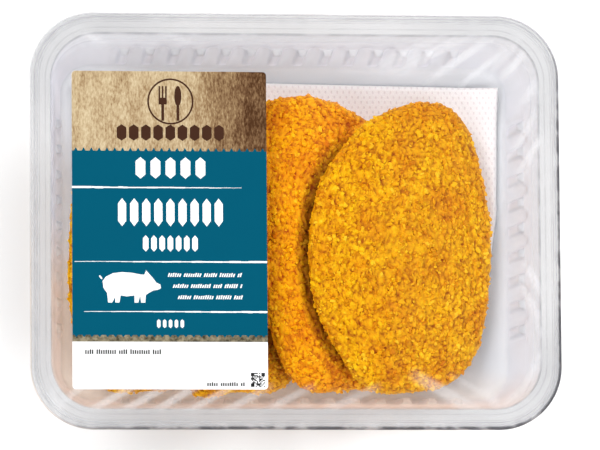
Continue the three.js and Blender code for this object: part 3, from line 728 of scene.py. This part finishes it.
form = bmesh.new()
crease_glint = form.verts.layers.float.new("crease_glint")
bmesh.ops.create_grid(
    form, x_segments=round(2 * FILM_HALF[0] / FILM_GRID),
    y_segments=round(2 * FILM_HALF[1] / FILM_GRID), size=1.0)
for vert in form.verts:
    x, y = vert.co.x * FILM_HALF[0], vert.co.y * FILM_HALF[1]
    # Square corners are drawn in to round ones.
    u = (abs(x) - FILM_HALF[0] + FILM_RADIUS) / FILM_RADIUS
    v = (abs(y) - FILM_HALF[1] + FILM_RADIUS) / FILM_RADIUS
    if u > 0 and v > 0:
        x -= math.copysign(FILM_RADIUS * u * (1 - math.sqrt(1 - v * v / 2)), x)
        y -= math.copysign(FILM_RADIUS * v * (1 - math.sqrt(1 - u * u / 2)), y)
    # Each crease's height, and the painted highlight beside its crest.
    height = white = 0.0
    for ax, ay, bx, by, half, strength in CREASES:
        run = Vector((bx - ax, by - ay))
        gone = Vector((x - ax, y - ay))
        share = gone.dot(run) / run.length_squared
        off = abs(gone.cross(run)) / run.length / half
        if -OVERRUN < share < 1 + OVERRUN and off < REACH:
            fade = math.sin(math.pi * ((share + OVERRUN) / (1 + 2 * OVERRUN)))
            height = max(height, CREASE_HEIGHT * strength * fade * math.exp(-off * off))
            white = max(white, strength * fade * math.exp(-GLINT_FALL * (off - GLINT_OFF) ** 2))
    # It lies flat where it is sealed to the flange.
    inward = min(FILM_HALF[0] - abs(x), FILM_HALF[1] - abs(y))
    free = min(1.0, max(0.0, (inward - SEAL_WIDTH) / SEAL_FADE))
    vert.co = (x * MM, y * MM, (FILM_Z + height * free) * MM)
    vert[crease_glint] = white * free
bmesh.ops.recalc_face_normals(form, faces=form.faces)
film = make_piece("sealing_film", form, clear_film)
gauge = film.modifiers.new("gauge", "SOLIDIFY")
gauge.thickness, gauge.offset = FILM_GAUGE * MM, 0
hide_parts("film")
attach(film, "root")

# ---- The label -----------------------------------------------------------------------------
# A coated paper label with round corners, stuck on the film. It is printed with a board of worn
# wood, a teal field with a pinked edge, and an open white panel below.
LABEL_HALF, LABEL_RADIUS = (41.55, 67.9), 1.6
LABEL_MIDDLE = (-54.4, -4.3)
LABEL_FOOT, PAPER = 50.9, 0.19
PAPER_TOP = LABEL_FOOT + PAPER
TEAL_FOOT, PRINT_FOOT = PAPER_TOP + 0.012, PAPER_TOP + 0.026
FIELD_INK, PRINT_INK = 0.01, 0.008
TOOTH_SIZE, DRIFT_SIZE = 0.4, 100 / 9
WOOD_FIBRE, WOOD_BAND, STRIP_STREAK = 2 / 3, 100 / 21, 50 / 21
STAIN_LEFT, STAIN_RIGHT = -48.0, -15.0  # the wood's stain deepens from the one to the other
STROKE, STROKE_STEP, STROKE_GAP = 0.6, 0.95, 1.0
SHOULDER = 0.62  # where a stud's sides end, as a share of its half height

# Coated paper: white and even, with a dull sheen from the clay coat.


def ink_finish(name, nodes_for_colour):
    """Printed coated paper, whose colour the given function makes."""
    finish, tree, out = start_finish(name)
    where = add(tree, "ShaderNodeTexCoord").outputs["Object"]
    tooth = add(tree, "ShaderNodeTexNoise", links={"Vector": where, "Scale": 1 / (TOOTH_SIZE * MM)})
    grainy = add(tree, "ShaderNodeBump", links={
        "Strength": 0.08, "Distance": 0.05 * MM, "Height": tooth.outputs["Fac"]})
    paper = add(tree, "ShaderNodeBsdfPrincipled", links={
        "Base Color": nodes_for_colour(tree, where), "Roughness": 0.5,
        "Specular IOR Level": 0.03, "Normal": grainy.outputs["Normal"]})
    tree.links.new(paper.outputs[0], out.inputs["Surface"])
    return finish


def even_ink(code, other):
    """A colour that wavers between two close ones, as an inked field does."""
    def nodes(tree, where):
        drift = add(tree, "ShaderNodeTexNoise", links={
            "Vector": where, "Scale": 1 / (DRIFT_SIZE * MM)})
        return add(tree, "ShaderNodeMix", {"data_type": "RGBA"}, {
            0: drift.outputs["Fac"], 6: tint(code), 7: tint(other)}).outputs[2]
    return nodes


def worn_wood(tree, where):
    """Printed wood: upright fibres, tan on the left and stained dark brown on the right."""
    fibres = add(tree, "ShaderNodeMapping", links={
        0: where, "Rotation": (0, 0, 0.14), "Scale": (1.0, 0.36, 1.0)})
    fine = add(tree, "ShaderNodeTexNoise", links={
        "Vector": fibres.outputs[0], "Scale": 1 / (WOOD_FIBRE * MM), "Detail": 4.0,
        "Roughness": 0.65})
    broad = add(tree, "ShaderNodeTexNoise", links={
        "Vector": fibres.outputs[0], "Scale": 1 / (WOOD_BAND * MM), "Detail": 4.0})
    across = add(tree, "ShaderNodeSeparateXYZ", links={0: where})
    side = add(tree, "ShaderNodeMapRange", links={
        "Value": across.outputs["X"], "From Min": STAIN_LEFT * MM, "From Max": STAIN_RIGHT * MM})
    stain = add(tree, "ShaderNodeMath", {"operation": "MULTIPLY_ADD"}, {
        0: broad.outputs["Fac"], 1: 1.0, 2: side.outputs["Result"]})
    depth = add(tree, "ShaderNodeMath", {"operation": "MULTIPLY_ADD"}, {
        0: fine.outputs["Fac"], 1: 2.0, 2: stain.outputs[0]})
    tone = add(tree, "ShaderNodeValToRGB", links={0: add(tree, "ShaderNodeMath", {
        "operation": "MULTIPLY_ADD"}, {0: depth.outputs[0], 1: 0.5, 2: -0.35}).outputs[0]})
    tone.color_ramp.elements[0].position, tone.color_ramp.elements[0].color = 0.2, tint("#CFBD9A")
    tone.color_ramp.elements[1].position, tone.color_ramp.elements[1].color = 0.95, tint("#4A2F1B")
    for place, code in ((0.4, "#BAA37F"), (0.58, "#987C59"), (0.78, "#6F5137")):
        tone.color_ramp.elements.new(place).color = tint(code)
    return tone.outputs["Color"]


def dark_wood(tree, where):
    """The same board below the field, dull and grey-brown."""
    streaks = add(tree, "ShaderNodeTexNoise", links={
        "Vector": where, "Scale": 1 / (STRIP_STREAK * MM), "Detail": 4.0, "Roughness": 0.6})
    return add(tree, "ShaderNodeMix", {"data_type": "RGBA"}, {
        0: add(tree, "ShaderNodeMapRange", links={
            "Value": streaks.outputs["Fac"], "From Min": 0.36, "From Max": 0.64}).outputs[0],
        6: tint("#3E3A2C"), 7: tint("#968B72")}).outputs[2]


white_paper = ink_finish("coated_white_paper", even_ink("#FFFFFF", "#FDFDFD"))
wood_ink = ink_finish("printed_wood_on_paper", worn_wood)
strip_ink = ink_finish("printed_dark_wood_on_paper", dark_wood)
teal_ink = ink_finish("teal_ink_on_paper", even_ink("#00546C", "#00526A"))
pale_ink = ink_finish("unprinted_white_on_paper", even_ink("#F8F7F4", "#FFFFFF"))
brown_ink = ink_finish("dark_brown_ink_on_paper", even_ink("#3B241A", "#4A2E20"))
black_ink = ink_finish("black_ink_on_paper", even_ink("#161616", "#202020"))


def on_label(px, py):
    """A point of the label from its lower left corner, in mm, as metres in the frame."""
    return ((LABEL_MIDDLE[0] - LABEL_HALF[0] + px) * MM, (LABEL_MIDDLE[1] - LABEL_HALF[1] + py) * MM)


def shape(form, corners):
    """A flat shape with those corners, in mm from the label's lower left corner."""
    form.faces.new([form.verts.new((*on_label(px, py), 0)) for px, py in corners])


def bar(form, left, low, width, height, slant=0.0):
    """A flat bar, leaning by slant."""
    shape(form, ((left, low), (left + width, low), (left + width + slant, low + height),
                 (left + slant, low + height)))


def stud(form, px, py, half_width, half_height):
    """A flat six-sided stud that stands upright."""
    shoulder = SHOULDER * half_height
    shape(form, ((px, py - half_height), (px + half_width, py - shoulder),
                 (px + half_width, py + shoulder), (px, py + half_height),
                 (px - half_width, py + shoulder), (px - half_width, py - shoulder)))


def disc(form, px, py, rx, ry, turn=0.0, steps=20):
    """A flat oval, turned by an angle."""
    shape(form, [(px + rx * math.cos(a) * math.cos(turn) - ry * math.sin(a) * math.sin(turn),
                  py + rx * math.cos(a) * math.sin(turn) + ry * math.sin(a) * math.cos(turn))
                 for a in (2 * math.pi * k / steps for k in range(steps))])


def hatch(form, scatter, left, right_end, low, height, slant):
    """A row of fine upright strokes in groups, leaning by slant."""
    place = left
    while place < right_end:
        for stroke in range(scatter.randint(4, 9)):
            if place < right_end:
                bar(form, place, low, STROKE, height * scatter.uniform(0.75, 1.0), slant)
                place += STROKE_STEP
        place += STROKE_GAP


def round_off_corners(form, corners):
    """Rounds those corners as the die that cuts the label does."""
    bmesh.ops.bevel(form, geom=corners, offset=LABEL_RADIUS * MM, offset_type="OFFSET", segments=6,
                    profile=0.5, affect="VERTICES", material=-1)


def print_layer(name, form, finish, foot, depth):
    """Gives the flat shapes their thickness and sets them on the label at that height."""
    bmesh.ops.recalc_face_normals(form, faces=form.faces)
    for face in form.faces:
        if face.normal.z < 0:
            face.normal_flip()
    grown = bmesh.ops.extrude_face_region(form, geom=list(form.faces), use_keep_orig=True)["geom"]
    tops = [g for g in grown if isinstance(g, bmesh.types.BMVert)]
    bmesh.ops.translate(form, verts=tops, vec=(0, 0, depth * MM))
    bmesh.ops.translate(form, verts=form.verts, vec=(0, 0, foot * MM))
    bmesh.ops.recalc_face_normals(form, faces=form.faces)
    piece = make_piece(name, form, finish, smooth=False)
    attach(piece, "root")
    return piece


# The sheet of paper.
form = bmesh.new()
bar(form, 0, 0, 2 * LABEL_HALF[0], 2 * LABEL_HALF[1])
round_off_corners(form, list(form.verts))
label = print_layer("label_paper", form, white_paper, LABEL_FOOT, PAPER)
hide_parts("label")

# The printed fields, from the top: wood, teal with pinked edges, a strip of wood.
# The wood reaches under the teal's edges.
FIELD_TOP, FIELD_FOOT, STRIP_FOOT = 102.3, 23.2, 20.2
TEETH = 25  # along each edge, which stands off by so much at their tips and between them
TOP_TIP, TOP_GAP, FOOT_TIP, FOOT_GAP = 0.75, -0.65, 1.15, 0.15
UNDER = 1
form = bmesh.new()
bar(form, 0, FIELD_TOP - UNDER, 2 * LABEL_HALF[0], 2 * LABEL_HALF[1] - FIELD_TOP + UNDER)
round_off_corners(form, [v for v in form.verts if v.co.y > on_label(0, FIELD_TOP)[1]])
print_layer("label_wood_field", form, wood_ink, PAPER_TOP, FIELD_INK)

form = bmesh.new()
bar(form, 0, STRIP_FOOT, 2 * LABEL_HALF[0], FIELD_FOOT - STRIP_FOOT + UNDER)
print_layer("label_wood_strip", form, strip_ink, PAPER_TOP, FIELD_INK)

form = bmesh.new()
bmesh.ops.create_grid(form, x_segments=4 * TEETH, y_segments=1, size=0.5)
for vert in form.verts:
    quarter = round((vert.co.x + 0.5) * 4 * TEETH)
    if vert.co.y > 0:
        edge = FIELD_TOP + (TOP_TIP if quarter % 4 == 2 else TOP_GAP)
    else:
        edge = FIELD_FOOT - (FOOT_TIP if quarter % 4 == 2 else FOOT_GAP)
    vert.co = (*on_label(2 * LABEL_HALF[0] * quarter / (4 * TEETH), edge), 0)
print_layer("label_teal_field", form, teal_ink, TEAL_FOOT, FIELD_INK)

# White on the teal: worn rules, rows of studs and of fine strokes, and a plain figure of a pig.
RULES = ((86.0, 0, 72.4, "right"), (54.3, 1, 83.1, "left"), (33.0, 5, 83.1, "left"))
RULE_RUN, RULE_THIN, RULE_SWELL = (1.2, 5.0), 0.18, 0.62
STUD_ROWS = (  # how many, the row's middle and pitch, and half a stud's width and height
    (5, 42.0, 94.4, 6.4, 2.1, 4.6), (9, 41.9, 75.4, 5.15, 1.75, 6.0),
    (7, 41.8, 62.1, 3.5, 1.2, 3.5), (5, 41.7, 27.9, 2.5, 0.75, 1.9),
)
STROKE_ROWS = ((47.9, 40.6, 71.7), (43.2, 42.7, 71.7), (38.4, 44.8, 71.7))
PIG = (  # its outline, clockwise from the tail
    (12.9, 47.6), (14.3, 49.4), (17.5, 51.0), (21.5, 51.5), (26.0, 51.2), (29.6, 50.5), (31.4, 50.4),
    (32.2, 52.3), (33.9, 50.4), (35.2, 49.0), (36.8, 46.9), (38.5, 46.2), (38.7, 44.5), (37.3, 43.9),
    (35.4, 43.6), (33.5, 42.6), (32.0, 41.6), (31.8, 38.3), (29.9, 38.3), (29.5, 41.3), (28.7, 38.3),
    (27.0, 38.3), (27.0, 41.4), (23.5, 41.0), (20.9, 41.4), (20.3, 38.3), (18.5, 38.3), (18.4, 40.6),
    (17.1, 38.3), (15.3, 38.3), (14.9, 42.4), (13.3, 44.6),
)
PIG_SCALE, PIG_SHIFT = (0.96, 0.985), (0.5, -0.9)
form = bmesh.new()
scatter = random.Random(5)
for height, left, right_end, thin_end in RULES:
    place = left
    while place < right_end:
        run = min(scatter.uniform(*RULE_RUN), right_end - place)
        share = (place - left) / (right_end - left)
        body = RULE_SWELL * (1 - share if thin_end == "right" else share) + RULE_THIN
        thick = body * scatter.uniform(0.75, 1.25)
        bar(form, place, height - thick / 2 + scatter.uniform(-0.06, 0.06), run * 0.985, thick)
        place += run
for count, middle_x, middle_y, pitch, half_width, half_height in STUD_ROWS:
    for k in range(count):
        stud(form, middle_x + (k - (count - 1) / 2) * pitch, middle_y, half_width, half_height)
for low, left, right_end in STROKE_ROWS:
    hatch(form, scatter, left, right_end, low, 1.7, 0.5)
shape(form, [(PIG_SHIFT[0] + PIG_SCALE[0] * px, PIG_SHIFT[1] + PIG_SCALE[1] * py)
             for px, py in reversed(PIG)])
disc(form, 12.1, 47.6, 1.0, 0.4, 2.2)  # its tail
print_layer("label_white_print", form, pale_ink, PRINT_FOOT, PRINT_INK)

# Dark brown on the wood: a ring with a knife and fork in it, and a row of studs below.
RING_MIDDLE, RING_RADIUS, RING_LINE, RING_STEPS = (42.1, 122.9), 9.9, 0.75, 64
TINE = 0.7
form = bmesh.new()
outer, inner = [], []
for k in range(RING_STEPS):
    angle = 2 * math.pi * k / RING_STEPS
    for radius, row in ((RING_RADIUS, outer), (RING_RADIUS - RING_LINE, inner)):
        row.append(form.verts.new((*on_label(
            RING_MIDDLE[0] + radius * math.cos(angle), RING_MIDDLE[1] + radius * math.sin(angle)), 0)))
for k in range(RING_STEPS):
    form.faces.new((outer[k - 1], outer[k], inner[k], inner[k - 1]))
for x in (37.4, 38.8, 40.2):
    bar(form, x - TINE / 2, 124.5, TINE, 5.0)
bar(form, 37.05, 121.6, 3.5, 2.9)  # the fork's neck
bar(form, 38.2, 114.6, 1.2, 7.0)  # and its handle
disc(form, 45.3, 125.2, 1.5, 4.4)  # the knife's blade
bar(form, 44.7, 114.6, 1.2, 6.4)  # and its handle
for k in range(9):
    stud(form, 42.0 + (k - 4) * 5.2, 109.5, 2.05, 3.5)
print_layer("label_brown_print", form, brown_ink, PRINT_FOOT, PRINT_INK)

# Black on the white panel: fine strokes, and a square of loose modules, full in three corners.
MODULE, MODULES, CORNER = 0.5, 12, 3
SQUARE_PLACE, SQUARE_INK, SQUARE_SHARE = (75.8, 1.1), 0.97 * MODULE, 0.48
form = bmesh.new()
hatch(form, scatter, 5.4, 37.0, 14.9, 2.1, 0)
hatch(form, scatter, 57.2, 73.0, 1.4, 1.7, 0)
for row in range(MODULES):
    for column in range(MODULES):
        low, high = row < CORNER, row >= MODULES - CORNER
        left, far_right = column < CORNER, column >= MODULES - CORNER
        full = (low or high) and (left or far_right) and not (low and far_right)
        if full or scatter.random() < SQUARE_SHARE:
            bar(form, SQUARE_PLACE[0] + column * MODULE, SQUARE_PLACE[1] + row * MODULE,
                SQUARE_INK, SQUARE_INK)
print_layer("label_black_print", form, black_ink, PRINT_FOOT, PRINT_INK)
